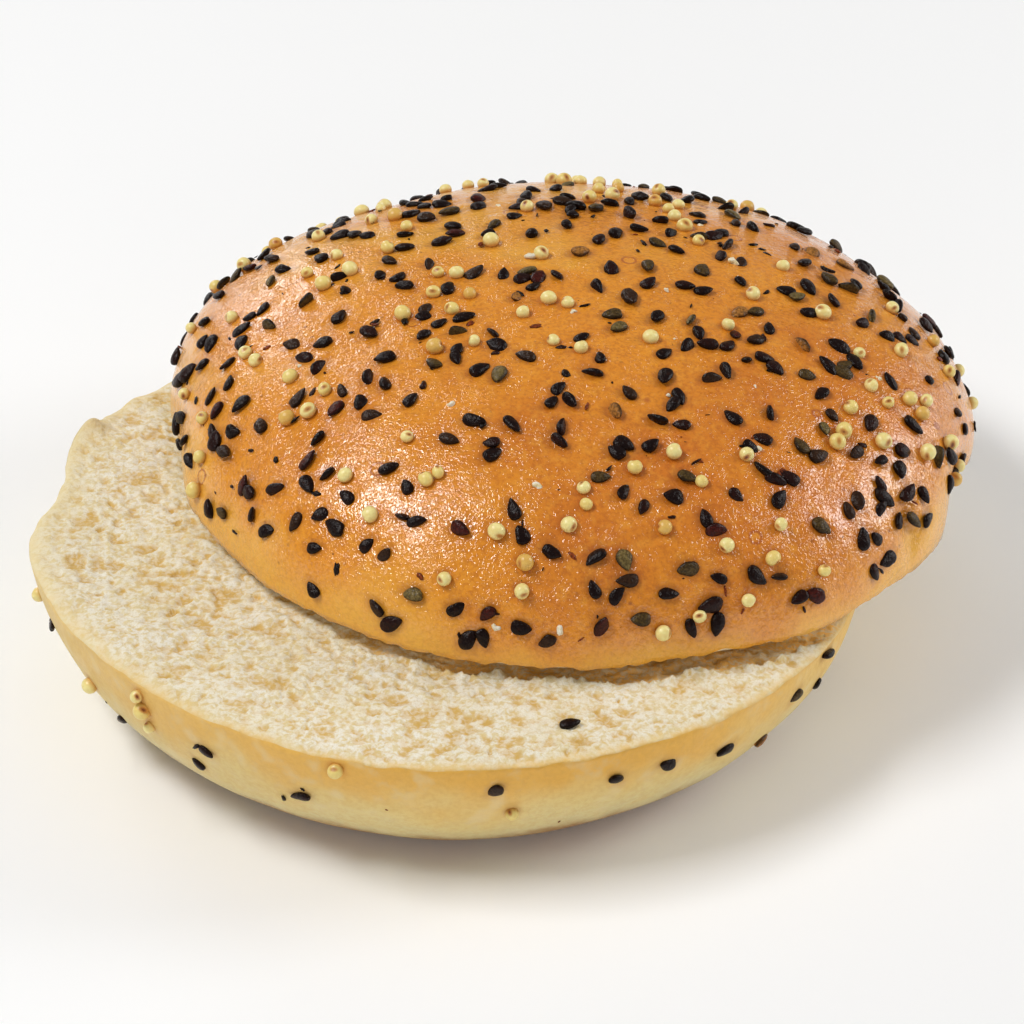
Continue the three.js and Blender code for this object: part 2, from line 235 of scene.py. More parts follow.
# The stage. Lights: direction, distance and size in metres, power, and whether the gloss mirrors them
FLOOR_REACH = 3000.0
SKY_COLOUR = (1.0, 0.99, 0.97, 1.0)
SKY_STRENGTH = 0.19
LIGHTS = [
    ("key_softbox", (-0.54, -0.1, 0.83), 0.8, (0.4, 0.2), 3.8, True),
    ("right_softbox", (0.9, 0.18, 0.4), 0.8, (0.3, 0.34), 2.2, True),
    ("right_back_panel", (0.81, 0.52, 0.26), 0.8, (0.2, 0.2), 0.3, True),
    ("back_panel", (-0.44, 0.86, 0.28), 0.9, (0.26, 0.2), 1.1, True),
    ("front_fill", (0.1, -0.94, 0.31), 1.0, (1.6, 0.36), 2.6, False),
    ("top_fill", (0.2, 0.25, 0.95), 1.2, (1.4, 1.4), 2.4, False),
]

# The photograph's camera: where it looks, from where, and its lens
CAMERA_TARGET = (8.1, 10.2, 15.1)
CAMERA_AZIMUTH = -0.9
CAMERA_ELEVATION = 32.3
CAMERA_DISTANCE = 620.0
CAMERA_LENS = 162.0
SENSOR_WIDTH = 36.0


# Shapes of the two halves, as the solids have them

def lobes(table, angle):
    return sum(height * np.sin(count * angle + math.radians(turn)) for count, height, turn in table)


def waves(table, x, y):
    total = 0.0
    for length, heading, height, phase in table:
        along = x * math.cos(math.radians(heading)) + y * math.sin(math.radians(heading))
        total = total + height * np.sin(TURN * along / length + math.radians(phase))
    return total


def away_from(at, angle):
    """Angle from a place on the outline, the short way round."""
    turn = angle - math.radians(at)
    return np.arctan2(np.sin(turn), np.cos(turn))


def bump(place, angle):
    at, width, height = place
    return height * np.exp(-(away_from(at, angle) / math.radians(width)) ** 2)


def ramp(value, low, high):
    """0 at the low end, 1 at the high end, straight in between."""
    return np.clip((value - low) / (high - low), 0, 1)


def way_out(angle):
    """Level directions from the middle."""
    return np.stack([np.cos(angle), np.sin(angle), np.zeros(len(angle))], -1)


def crown_crust(along, angle):
    """Point of the crown's crust in the crown's own frame: 0 at the top, 1 at the cut edge."""
    fall = (math.pi / 2) * (EVEN_SHARE * along + (1 - EVEN_SHARE) * along ** 3)
    across = np.sin(fall) ** (2 / CROWN_ROUND["across"])
    height = CROWN_HEIGHT * np.maximum(np.cos(fall), 0) ** (2 / CROWN_ROUND["up"])
    height = np.where(along < 1, height, 0.0)
    pinch = sum(bump(place, angle) for place in CROWN_PINCHES)
    felt = np.maximum(0, 1 - height / PINCH_REACH) ** 2
    radius = across * (BUN_RADIUS + lobes(CROWN_LOBES, angle)) - pinch * felt
    x = radius * np.cos(angle)
    y = radius * np.sin(angle)
    swell = 1 + waves(CRUST_SWELLS, x, y) / BUN_RADIUS
    return np.stack([x * swell, y * swell, height * swell], -1)


def crown_cut(along, angle):
    edge = crown_crust(np.ones_like(angle), angle)
    x = along * edge[..., 0]
    y = along * edge[..., 1]
    settled = 1 - along ** CROWN_EDGE_CURL
    below = waves(CRUMB_WAVES, x + CROWN_SHIFT["x"], y + CROWN_SHIFT["y"]) - CROWN_EDGE_LIFT
    return np.stack([x, y, settled * below], -1)


def cut_plane(x, y):
    tilt_x = math.tan(math.radians(HEEL_CUT_TILT["x"]))
    tilt_y = math.tan(math.radians(HEEL_CUT_TILT["y"]))
    return HEEL_HEIGHT + y * tilt_x - x * tilt_y


def heel_rim(angle):
    radius = BUN_RADIUS + lobes(HEEL_LOBES, angle) - bump(TORN_BITE, angle)
    x = radius * np.cos(angle)
    y = radius * np.sin(angle)
    return np.stack([x, y, cut_plane(x, y) + waves(CRUMB_WAVES, x, y) + torn_up(angle)], -1)


def torn_up(angle):
    return bump(TORN_LIP, angle) + bump(TORN_FLAKE, angle)


def heel_cut(along, angle):
    rim = heel_rim(angle)
    x = along * rim[..., 0]
    y = along * rim[..., 1]
    z = cut_plane(x, y) + waves(CRUMB_WAVES, x, y)
    return np.stack([x, y, np.where(along < 1, z, rim[..., 2])], -1)


def heel_side(up, angle):
    rim = heel_rim(angle)
    flare = (1 - (1 - up) ** HEEL_SIDE_ROUND) ** (1 / HEEL_SIDE_ROUND)
    reach = (BASE_RADIUS + (BUN_RADIUS - BASE_RADIUS) * flare) / BUN_RADIUS
    return np.stack([reach * rim[..., 0], reach * rim[..., 1], up * rim[..., 2]], -1)


def rotation(angle, axis):
    return np.array(Matrix.Rotation(angle, 3, axis))


def crown_to_bun(points):
    """Moves points from the crown's own frame to where the crown lies on the heel."""
    turn = rotation(math.radians(HEEL_CUT_TILT["x"]), "X") @ rotation(math.radians(HEEL_CUT_TILT["y"]), "Y")
    height = cut_plane(CROWN_SHIFT["x"], CROWN_SHIFT["y"]) + REST_GAP + CROWN_EDGE_LIFT
    return points @ turn.T + np.array([CROWN_SHIFT["x"], CROWN_SHIFT["y"], height])


# Noise

def lattice(ix, iy, iz, number):
    """An even random number from 0 to 1 for each cell of a grid."""
    mixed = ix * CELL_MIX["x"] + iy * CELL_MIX["y"] + iz * CELL_MIX["z"] + number * CELL_MIX["number"]
    mixed = mixed & LOW_32_BITS
    mixed = ((mixed ^ (mixed >> CELL_SHIFTS[0])) * CELL_MIX["z"]) & LOW_32_BITS
    return ((mixed ^ (mixed >> CELL_SHIFTS[1])) & LOW_16_BITS) / LOW_16_BITS


def noise(points, size, number):
    """Smooth noise from -1 to 1 whose bumps are about this size."""
    place = points / size
    cell = np.floor(place).astype(np.int64)
    part = place - cell
    ease = part * part * (3 - 2 * part)
    total = np.zeros(len(points))
    for corner in range(8):
        step = np.array([corner & 1, (corner >> 1) & 1, corner >> 2])
        weight = np.where(step == 1, ease, 1 - ease).prod(-1)
        total += weight * lattice(*(cell + step).T, number)
    return 2 * total - 1


def layers(points, table):
    return sum(height * noise(points, size, number) for size, height, number in table)


def pores(x, y, spacing, share, number):
    """How deep a point lies in the oval pores of one size, from 0 to 1."""
    u = x / spacing
    v = y / spacing
    cell_u = np.floor(u).astype(np.int64)
    cell_v = np.floor(v).astype(np.int64)
    depth = np.zeros(len(x))
    for step in range(9):
        cu = cell_u + step % 3 - 1
        cv = cell_v + step // 3 - 1
        at_u, at_v, drawn, turn, grown = (lattice(cu, cv, layer, number) for layer in range(5))
        shift_u = u - cu - at_u
        shift_v = v - cv - at_v
        open_here = drawn < share
        turn = math.pi * turn
        size = PORE_SHAPE["smallest"] + PORE_SHAPE["spread"] * grown
        a = shift_u * np.cos(turn) + shift_v * np.sin(turn)
        b = shift_v * np.cos(turn) - shift_u * np.sin(turn)
        bowl = np.clip(1 - (a / size) ** 2 - (b / (PORE_SHAPE["narrow"] * size)) ** 2, 0, 1)
        depth = np.maximum(depth, open_here * bowl ** PORE_SHAPE["round"])
    return depth


# Meshes

def ring_start(ring):
    return 0 if ring == 0 else 1 + 3 * ring * (ring - 1)


def disc_grid(rings):
    """Places on a disc: one in the middle, then six more on each ring than on the last."""
    along = [np.zeros(1)]
    angle = [np.zeros(1)]
    for ring in range(1, rings + 1):
        along.append(np.full(6 * ring, ring / rings))
        angle.append(TURN * np.arange(6 * ring) / (6 * ring))
    return np.concatenate(along), np.concatenate(angle)


def disc_faces(rings):
    faces = []
    for ring in range(1, rings + 1):
        outer = np.arange(6 * ring)
        inner = outer - outer // ring
        around = max(6 * (ring - 1), 1)
        a = ring_start(ring) + outer
        b = ring_start(ring) + (outer + 1) % (6 * ring)
        c = ring_start(ring - 1) + inner % around
        d = ring_start(ring - 1) + (inner + 1) % around
        faces.append(np.stack([a, b, c], -1))
        faces.append(np.stack([c, b, d], -1)[(outer + 1) % ring != 0])
    return np.concatenate(faces)


def band_faces(low, high, around):
    """Faces between two rows of as many points, given by where each row starts."""
    step = np.arange(around)
    after = (step + 1) % around
    return np.concatenate([np.stack([low + step, low + after, high + after], -1),
                           np.stack([low + step, high + after, high + step], -1)])


def fan_faces(middle, row, around):
    """Faces from one point to a row of points around it."""
    step = np.arange(around)
    after = (step + 1) % around
    return np.stack([np.full(around, middle), row + after, row + step], -1)


def vertex_normals(points, faces):
    corners = points[faces]
    flat = np.cross(corners[:, 1] - corners[:, 0], corners[:, 2] - corners[:, 0])
    total = np.zeros_like(points)
    for axis in range(3):
        for corner in range(3):
            total[:, axis] += np.bincount(faces[:, corner], flat[:, axis], len(points))
    return total / np.maximum(np.linalg.norm(total, axis=1, keepdims=True), TINY)


def new_object(name, data):
    thing = bpy.data.objects.new(name, data)
    bpy.context.collection.objects.link(thing)
    return thing


def make_piece(name, points, faces, materials, face_materials=None, values=None, colours=None):
    """A smooth mesh object in the bun's frame, with a value or a colour at each point where given."""
    mesh = bpy.data.meshes.new(name)
    mesh.from_pydata((points * MM).tolist(), [], faces.tolist(), shade_flat=False)
    for material in materials:
        mesh.materials.append(material)
    if face_materials is not None:
        mesh.polygons.foreach_set("material_index", face_materials.astype(np.int32))
    for key, data in (values or {}).items():
        mesh.attributes.new(key, "FLOAT", "POINT").data.foreach_set("value", data.astype(np.float32))
    for key, data in (colours or {}).items():
        shades = np.concatenate([data, np.ones((len(data), 1))], 1).astype(np.float32)
        mesh.attributes.new(key, "FLOAT_COLOR", "POINT").data.foreach_set("color", shades.ravel())
    mesh.validate()
    piece = new_object(name, mesh)
    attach(piece, "root")
    return piece


# Seeds: where they are

def seeded_random(state):
    """Even random numbers from 0 to 1, the same sequence that the solids' seeds come from."""
    count = 0
    while True:
        state = (RANDOM["multiplier"] * state + RANDOM["increment"]) % RANDOM["modulus"]
        count += 1
        if count > RANDOM["skipped"]:
            yield state / RANDOM["modulus"]


def spot(surface, along, angle):
    return surface(np.array([along]), np.array([angle]))[0]


def dome_share(along):
    """Share of drawn places that are kept, so that the dome's top isn't crowded."""
    return math.sin(math.pi / 2 * along)


def between(low, high, share):
    return low + (high - low) * share


def scatter(surface, rule, share):
    """Seeds over a surface, spread evenly by area, with each new one clear of the earlier ones."""
    draws = seeded_random(rule["draw"])
    points = np.zeros((rule["scattered"], 3))
    seeds = []
    while len(seeds) < rule["scattered"]:
        along = between(rule["from"], rule["to"], next(draws))
        angle = TURN * next(draws)
        if next(draws) > share(along):
            continue
        kind = "sesame" if next(draws) < SESAME_SHARE else "millet"
        size = between(*SEED_SIZES, next(draws))
        heading = TURN * next(draws)
        point = spot(surface, along, angle)
        room = between(*SEED_SPACING, next(draws) ** 2)
        if (np.linalg.norm(points[:len(seeds)] - point, axis=1) >= room).all():
            points[len(seeds)] = point
            seeds.append({"kind": kind, "size": size, "point": point,
                          "axes": seat(surface, along, angle, heading, point)})
    return seeds


def seat(surface, along, angle, heading, point):
    """A seed's own axes as rows: along its heading, to its left, and out of the surface."""
    step = NORMAL_STEP
    down = spot(surface, along + step, angle) - spot(surface, along - step, angle)
    around = spot(surface, along, angle + step) - spot(surface, along, angle - step)
    outward = np.cross(down, around)
    outward = outward / np.linalg.norm(outward)
    if outward @ point < 0:
        outward = -outward
    side = np.cross(outward, around)
    side = side / np.linalg.norm(side)
    around = around / np.linalg.norm(around)
    forward = around * math.cos(heading) + side * math.sin(heading)
    return np.stack([forward, np.cross(outward, forward), outward])


def stray_seed():
    """The seed that lies on the heel's crumb."""
    point = np.array([STRAY_SEED["x"], STRAY_SEED["y"], 0.0])
    point[2] = cut_plane(point[0], point[1]) + waves(CRUMB_WAVES, point[0], point[1]) + STRAY_SEED["lift"]
    axes = rotation(math.radians(STRAY_SEED["heading"]), "Z").T
    return {"kind": "sesame", "size": 1.0, "point": point, "axes": axes}


def squeezed(points):
    """Points of the crown in its own frame, moved in where its edge is pushed in."""
    angle = np.arctan2(points[:, 1], points[:, 0])
    push = bump(SQUEEZE["place"], angle) * np.clip(1 - points[:, 2] / SQUEEZE["reach"], 0, 1)
    moved = points.copy()
    moved[:, :2] *= (1 - push / BUN_RADIUS)[:, None]
    return moved


def turned(seed):
    """A crown seed moved to where the crown lies."""
    origin = crown_to_bun(np.zeros((1, 3)))
    return {**seed, "point": crown_to_bun(squeezed(seed["point"][None]))[0],
            "axes": crown_to_bun(seed["axes"]) - origin}


# Materials. A fit's numbers are the levels at which a pattern starts and is full, and its strength there.

def per_mm(size):
    """Texture scale for a pattern of this size."""
    return 1 / (size * MM)


def shade(colour):
    """A colour given as 0 to 255, as Blender's linear colour."""
    return (*Color([channel / 255 for channel in colour]).from_srgb_to_scene_linear(), 1.0)


class Shader:
    """A node material around one Principled shader."""

    def __init__(self, name, **settings):
        self.material = bpy.data.materials.new(name)
        self.material.use_nodes = True
        self.tree = self.material.node_tree
        self.surface = self.tree.nodes["Principled BSDF"]
        self.place = self.add("ShaderNodeTexCoord").outputs["Object"]
        self.set(self.surface, settings)

    def set(self, node, inputs):
        for key, value in inputs.items():
            socket = node.inputs[key]
            if isinstance(value, bpy.types.NodeSocket):
                self.tree.links.new(value, socket)
            else:
                socket.default_value = value

    def add(self, kind, inputs=None, **settings):
        node = self.tree.nodes.new(kind)
        for key, value in settings.items():
            setattr(node, key, value)
        self.set(node, inputs or {})
        return node

    def value(self, name, output="Fac"):
        return self.add("ShaderNodeAttribute", attribute_name=name).outputs[output]

    def noise(self, size, detail=2.0, roughness=0.5, warp=0.0):
        inputs = {"Vector": self.place, "Scale": per_mm(size), "Detail": detail,
                  "Roughness": roughness, "Distortion": warp}
        return self.add("ShaderNodeTexNoise", inputs).outputs["Fac"]

    def cells(self, size, feature="F1", place=None):
        inputs = {"Vector": place or self.place, "Scale": per_mm(size)}
        return self.add("ShaderNodeTexVoronoi", inputs, feature=feature)

    def swayed(self, size, reach):
        """Places moved about by a noise of this size, by up to about this reach in millimetres."""
        sway = self.add("ShaderNodeTexNoise", {"Vector": self.place, "Scale": per_mm(size), "Detail": 1.0})
        middle = self.add("ShaderNodeVectorMath", operation="SUBTRACT")
        self.set(middle, {0: sway.outputs["Color"], 1: (NOISE_MIDDLE, NOISE_MIDDLE, NOISE_MIDDLE)})
        shift = self.add("ShaderNodeVectorMath", operation="SCALE")
        self.set(shift, {0: middle.outputs["Vector"], "Scale": reach * MM / NOISE_SPREAD})
        moved = self.add("ShaderNodeVectorMath", operation="ADD")
        self.set(moved, {0: self.place, 1: shift.outputs["Vector"]})
        return moved.outputs["Vector"]

    def math(self, operation, a, b):
        node = self.add("ShaderNodeMath", operation=operation)
        self.set(node, {0: a, 1: b})
        return node.outputs[0]

    def times(self, a, b):
        return self.math("MULTIPLY", a, b)

    def fit(self, value, low, high, to_low=0.0, to_high=1.0):
        """Brings a range of values to another, easing at both ends."""
        inputs = {"Value": value, "From Min": low, "From Max": high, "To Min": to_low, "To Max": to_high}
        return self.add("ShaderNodeMapRange", inputs, interpolation_type="SMOOTHSTEP").outputs["Result"]

    def mix(self, factor, first, second):
        """Mixes two colours, each from a node or given as 0 to 255."""
        node = self.add("ShaderNodeMix", data_type="RGBA")
        self.set(node, {MIX_SOCKETS["factor"]: factor})
        for socket, colour in (("first", first), ("second", second)):
            self.set(node, {MIX_SOCKETS[socket]: shade(colour) if isinstance(colour, tuple) else colour})
        return node.outputs[MIX_SOCKETS["result"]]

    def bump(self, height, depth, under=None, strength=1.0):
        inputs = {"Height": height, "Distance": depth * MM, "Strength": strength}
        if under is not None:
            inputs["Normal"] = under
        return self.add("ShaderNodeBump", inputs).outputs["Normal"]

    def finish(self, **inputs):
        self.set(self.surface, inputs)
        return self.material


def crust_material():
    """The crown's crust under its glaze: yellower at the edge, redder on the dome, with fine wrinkles."""
    s = Shader("glazed_crust", **{"Specular IOR Level": 0.05, "Roughness": 0.6, "Coat Weight": 1.0,
                                  "Coat Roughness": 0.07, "Coat IOR": 1.75})
    size = CRUST_SIZE
    depth = CRUST_DEPTH
    tone = s.math("ADD", s.value("baked"), s.fit(s.noise(size["bake"], 3), 0.3, 0.7, -0.16, 0.16))
    pale = s.mix(s.fit(tone, 0.0, 0.5), CRUST["edge"], CRUST["gold"])
    brown = s.mix(s.fit(tone, 0.45, 1.0), pale, CRUST["brown"])
    golden = s.mix(s.fit(s.noise(size["patch"], 3, 0.6), 0.46, 0.7, 0.0, 0.4), brown, CRUST["patch"])
    specks = s.fit(s.noise(size["speck"], 4, 0.65), 0.4, 0.68)
    mottled = s.mix(s.times(specks, s.fit(tone, 0.1, 0.55, 0.16, 0.4)), golden, CRUST["speck"])
    freckles = s.fit(s.cells(size["freckle"]).outputs["Distance"], 0.16, 0.05)
    freckled = s.times(freckles, s.fit(s.noise(size["freckled"], 1), 0.5, 0.62))
    spotted = s.mix(s.times(freckled, 0.55), mottled, CRUST["freckle"])
    ringed = ring_marks(s)
    marked = s.mix(s.times(ringed, 0.6), spotted, CRUST["ring"])
    # Round each seed the crust goes redder and darker: partly caramel, partly painted contact shade
    coloured = s.mix(s.times(s.value("seed_near"), 0.35), marked, CRUST["caramel_and_seed_shade"])
    wrinkle = s.noise(size["wrinkle"], 1, 0.5, 0.8)
    patchy = s.times(wrinkle, s.fit(s.noise(size["wrinkled"], 2), 0.38, 0.62, 0.35, 1.0))
    skin = s.bump(s.noise(size["dimple"], 2), depth["dimple"])
    skin = s.bump(ringed, depth["ring"], skin, 0.6)
    skin = s.bump(wrinkle, depth["wrinkle"], skin)
    glaze = s.bump(patchy, depth["glaze"], skin)
    return s.finish(**{"Base Color": coloured, "Normal": skin, "Coat Normal": glaze})


def ring_marks(s):
    """Rings that fallen millet left in the glaze: few, and each about as wide as a grain."""
    cell = s.cells(CRUST_SIZE["ring"])
    distance = cell.outputs["Distance"]
    ring = s.times(s.fit(distance, 0.085, 0.11), s.fit(distance, 0.145, 0.12))
    chosen = s.fit(cell.outputs["Color"], 0.4, 0.44)
    return s.times(ring, chosen)


def crumb_material():
    """Soft open crumb: cream walls, with painted shade making cells, pores, creases and pockets darker and
    yellower.
    """
    s = Shader("bread_crumb", **{"Roughness": 0.85, "Specular IOR Level": 0.25})
    size = CRUMB_SIZE
    depth = CRUMB_DEPTH
    cream = s.mix(s.fit(s.noise(size["drift"], 3), 0.3, 0.7), CRUMB["cream"], CRUMB["warm"])
    fluff = s.noise(size["fluff"], 2, 0.5, 0.6)
    toned = s.mix(s.fit(fluff, 0.42, 0.66, 0.0, 0.75), cream, CRUMB["fluff"])
    grain = s.noise(size["grain"], 2)
    grained = s.mix(s.fit(grain, 0.42, 0.66, 0.0, 0.24), toned, CRUMB["grain"])
    swayed = s.swayed(size["sway"], CELL_SWAY)
    walls = s.cells(size["cell"], "DISTANCE_TO_EDGE", swayed).outputs["Distance"]
    open_cell = s.times(s.fit(walls, 0.06, 0.34), s.fit(s.noise(size["open"], 2), 0.44, 0.6))
    # Painted shade: the hollow middles of the cells darker and yellower
    celled = s.mix(s.times(open_cell, 0.65), grained, CRUMB["cell"])
    # Painted shade in the pores and creases, broken up by the fluff
    sunk_shade = s.times(s.fit(s.value("pore_shade"), 0.03, 0.6, 0.0, 0.95), s.fit(fluff, 0.36, 0.62, 0.55, 1.0))
    deep = s.mix(sunk_shade, celled, CRUMB["pore_shade"])
    # Painted shade in the pockets under the crown's overhanging edge
    overhang_shade = s.times(s.value("pocket_shade"), s.fit(fluff, 0.38, 0.6, 0.4, 1.0))
    shaded = s.mix(overhang_shade, deep, CRUMB["pocket_shade"])
    edge = s.value("edge")
    skinned = s.mix(s.times(edge, 0.8), shaded, CRUMB["skin"])
    gold = s.times(s.value("gold"), s.fit(s.noise(size["gold"], 3), 0.3, 0.62, 0.4, 1.0))
    edged = s.mix(s.times(edge, gold), skinned, CRUMB["gold"])
    normal = s.bump(s.math("SUBTRACT", 1.0, open_cell), depth["cell"])
    normal = s.bump(fluff, depth["fluff"], normal)
    normal = s.bump(grain, depth["grain"], normal)
    return s.finish(**{"Base Color": edged, "Normal": normal})


def side_material():
    """The heel's side: a golden band under the cut, pale below, a browned line at the base."""
    s = Shader("side_crust", **{"Specular IOR Level": 0.4})
    size = SIDE_SIZE
    depth = SIDE_DEPTH
    level = s.math("ADD", s.value("up"), s.fit(s.noise(size["drift"], 3), 0.25, 0.75, -0.14, 0.14))
    lower = s.mix(s.fit(level, 0.15, 0.55), SIDE["low"], SIDE["middle"])
    gold = s.value("gold")
    band = s.mix(s.times(s.fit(level, 0.45, 0.9), gold), lower, SIDE["band"])
    fine = s.noise(size["speck"], 4, 0.65)
    toned = s.mix(s.fit(fine, 0.35, 0.7, 0.0, 0.26), band, SIDE["speck"])
    blotched = s.mix(s.fit(s.noise(size["blotch"], 3), 0.5, 0.72, 0.0, 0.35), toned, SIDE["blotch"])
    bared = s.times(s.value("torn"), s.fit(s.noise(size["torn"], 3, 0.6), 0.36, 0.62, 0.45, 1.0))
    torn = s.mix(bared, blotched, SIDE["torn"])
    base = s.mix(s.times(gold, s.fit(level, 0.32, 0.12, 0.0, 0.85)), torn, SIDE["toast"])
    # Round each seed the side goes redder and darker: partly caramel, partly painted contact shade
    coloured = s.mix(s.times(s.value("seed_near"), 0.3), base, SIDE["caramel_and_seed_shade"])
    normal = s.bump(s.noise(size["dimple"], 3), depth["dimple"])
    normal = s.bump(fine, depth["speck"], normal)
    rough = s.fit(s.noise(size["gloss"], 2), 0.3, 0.7, 0.46, 0.62)
    return s.finish(**{"Base Color": coloured, "Roughness": rough, "Normal": normal})


def sesame_material():
    """Glossy sesame skin, its tone given seed by seed, with a darker rim."""
    s = Shader("sesame_skin", **{"Specular IOR Level": 0.05, "Roughness": 0.5, "Coat Weight": 0.4,
                                 "Coat Roughness": 0.06, "Coat IOR": 1.4})
    size = SESAME_SIZE
    skin = SESAME_SKIN
    flecks = s.fit(s.noise(size["fleck"], 2), 0.5, 0.72, 0.0, 0.13)
    flecked = s.mix(flecks, s.value("tone", "Color"), skin["fleck"])
    tone = s.mix(s.fit(s.noise(size["dark"], 3), 0.35, 0.65, 0.0, 0.6), flecked, skin["dark"])
    edged = s.mix(s.times(s.value("rim"), 0.9), tone, skin["rim"])
    normal = s.bump(s.noise(size["wrinkle"], 3, 0.6), SESAME_DEPTH)
    return s.finish(**{"Base Color": edged, "Normal": normal, "Coat Normal": normal})


def millet_material():
    """Cream-yellow millet with a brown germ spot, and painted shade darkening it towards its base."""
    s = Shader("millet_skin", **{"Specular IOR Level": 0.5, "Roughness": 0.32})
    size = MILLET_SIZE
    germ = s.value("germ")
    mottle = s.fit(s.noise(size["mottle"], 3), 0.35, 0.65, 0.0, 0.4)
    skin = s.mix(mottle, s.value("tone", "Color"), MILLET_SKIN["mottle"])
    # Painted shade: the grain darker towards its base, where it sits in the crust
    sunk_shade = s.mix(s.times(s.value("low"), 0.75), skin, MILLET_SKIN["shaded_base"])
    halo = s.mix(s.fit(germ, 0.08, 0.45, 0.0, 0.8), sunk_shade, MILLET_SKIN["halo"])
    spotted = s.mix(s.fit(germ, 0.4, 0.85), halo, MILLET_SKIN["germ"])
    normal = s.bump(s.noise(size["grain"], 2), MILLET_DEPTH)
    return s.finish(**{"Base Color": spotted, "Normal": normal})


# The two halves

def crumb_relief(points):
    """Torn and porous relief of a cut face, and how much painted shade each point gets in pores and creases.
    """
    places = points.copy()
    for axis, table in enumerate(CRUMB_SWAYS):
        places[:, axis] += layers(points, table)
    puffs = CLUMPS["level"] - np.abs(layers(places, CRUMB_WEB)) + np.abs(layers(places, CRUMB_PUFFS))
    relief = layers(points, CRUMB_SWELL) + CLUMPS["height"] * (puffs - CLUMPS["crease"])
    depth = np.zeros(len(points))
    for spacing, share, deep, number in CRUMB_PORES:
        hole = pores(places[:, 0], places[:, 1], spacing, share, number)
        relief -= deep * hole
        depth += deep * hole
    # How much painted shade the pores and creases get
    hollow_shade = HOLLOWS["pores"] * depth + HOLLOWS["creases"] * (CLUMPS["crease"] - puffs)
    return relief + CRUMB_LIFT, np.clip(hollow_shade, 0, 1)


def torn_relief(points):
    """Where the crown's edge hangs over the heel: a ragged crest, pockets behind it, and painted shade in the
    pockets.
    """
    x = points[:, 0] - CROWN_SHIFT["x"]
    y = points[:, 1] - CROWN_SHIFT["y"]
    from_middle = np.hypot(x, y)
    behind = (TORN_CREST["at"] - from_middle + layers(points, CREST_LINE)) / TORN_CREST["width"]
    rise = np.clip(1 - np.abs(behind), 0, 1)
    rise = rise * np.clip(TORN_CREST["tufted"] + layers(points, CREST_TUFTS), 0, 1)
    fall = np.clip(behind, 0, 1) * ramp(from_middle, TORN_POCKET["from"], TORN_POCKET["full"])
    fall = fall * np.clip(TORN_POCKET["open"] + layers(points, POCKET_DEPTHS), 0, 1)
    there = np.clip(bump(TORN_PLACE, np.arctan2(y, x)), 0, 1)
    return there * (TORN_CREST["height"] * rise - TORN_POCKET["depth"] * fall), there * fall


def seed_touch(points, seeds):
    """How near each point lies to a seed's outline, 1 under it, fading to 0 around it."""
    near = np.zeros(len(points))
    for seed in seeds:
        shift = points - seed["point"]
        round_grain = seed["kind"] == "millet"
        length = MILLET["diameter"] if round_grain else SESAME["length"]
        width = MILLET["diameter"] if round_grain else SESAME["width"]
        close = np.flatnonzero((np.abs(shift) < SEED_TOUCH["within"]).all(1))
        local = shift[close] @ seed["axes"].T
        ahead = local[:, 0] / (0.5 * length * seed["size"])
        aside = local[:, 1] / (0.5 * width * seed["size"])
        reach = ramp(np.hypot(ahead, aside), SEED_TOUCH["fades"], SEED_TOUCH["full"])
        near[close] = np.maximum(near[close], reach)
    return near


def crown_dome(along, angle, faces, near):
    """The crust with its unevenness and fold, its nicked edge, and dents where seeds are near."""
    dome = crown_crust(along, angle)
    outward = vertex_normals(dome, faces)
    swayed = angle + layers(dome, FOLD_SWAY)
    fold = bump(FOLD["place"], swayed) * ramp(along, FOLD["from"], FOLD["full"])
    inside = ramp(along, 1, NICKED_FROM)
    nicks = layers(dome, EDGE_NICKS)
    height = layers(dome, CRUST_UNEVEN) - fold - SEED_DENT * near
    dome = dome + outward * (height * inside)[:, None]
    dome[:, 2] += nicks * (1 - inside)
    return dome


def crown_under(along, angle):
    """The crown's cut face with its pores going up, and the painted shade each point gets in pores and
    creases.
    """
    under = crown_cut(along, angle)
    relief, pore_shade = crumb_relief(under)
    under[:, 2] -= ramp(along, 1, SMOOTH_UNDER_FROM) * np.clip(relief, -DEEPEST_PORE, 0.0)
    return under, pore_shade


def crown_baked(height, angle):
    """How brown the crust is baked: least at the edge, most in a band at the front."""
    fades = ramp(height, *BROWNEST["fades_in"]) * ramp(height, *BROWNEST["fades_out"])
    hottest = bump(BROWNEST["place"], angle) * fades
    domed = ramp(height, 0, BAKED_DOME["height"])
    pale_edge = sum(bump(place, angle) for place in PALE_EDGES)
    more = BAKED_DOME["more"] - bump(PALE_BACK, angle)
    return BAKED_EDGE + hottest - pale_edge * (1 - domed) + more * domed


def make_crown(seeds, crust, crumb):
    along, angle = disc_grid(CROWN_RINGS)
    faces = disc_faces(CROWN_RINGS)
    near = seed_touch(crown_crust(along, angle), seeds)
    dome = crown_dome(along, angle, faces, near)
    edge = ring_start(CROWN_RINGS)
    under, pore_shade = crown_under(along[:edge], angle[:edge])
    lower = faces[:, ::-1].copy()
    lower = np.where(lower < edge, lower + len(dome), lower)
    points = crown_to_bun(squeezed(np.concatenate([dome, under])))
    crumb_only = np.zeros(len(under))
    values = {
        "baked": np.concatenate([crown_baked(dome[:, 2], angle), crumb_only]),
        # How near each point lies to a seed: for the dents, and for a halo of caramel and painted shade
        "seed_near": np.concatenate([near, crumb_only]),
        "pore_shade": np.concatenate([np.zeros(len(dome)), pore_shade]),
    }
    kinds = np.concatenate([np.zeros(len(faces)), np.ones(len(lower))])
    faces = np.concatenate([faces, lower])
    piece = make_piece("crown_bread", points, faces, [crust, crumb], kinds, values)
    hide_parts("crown")


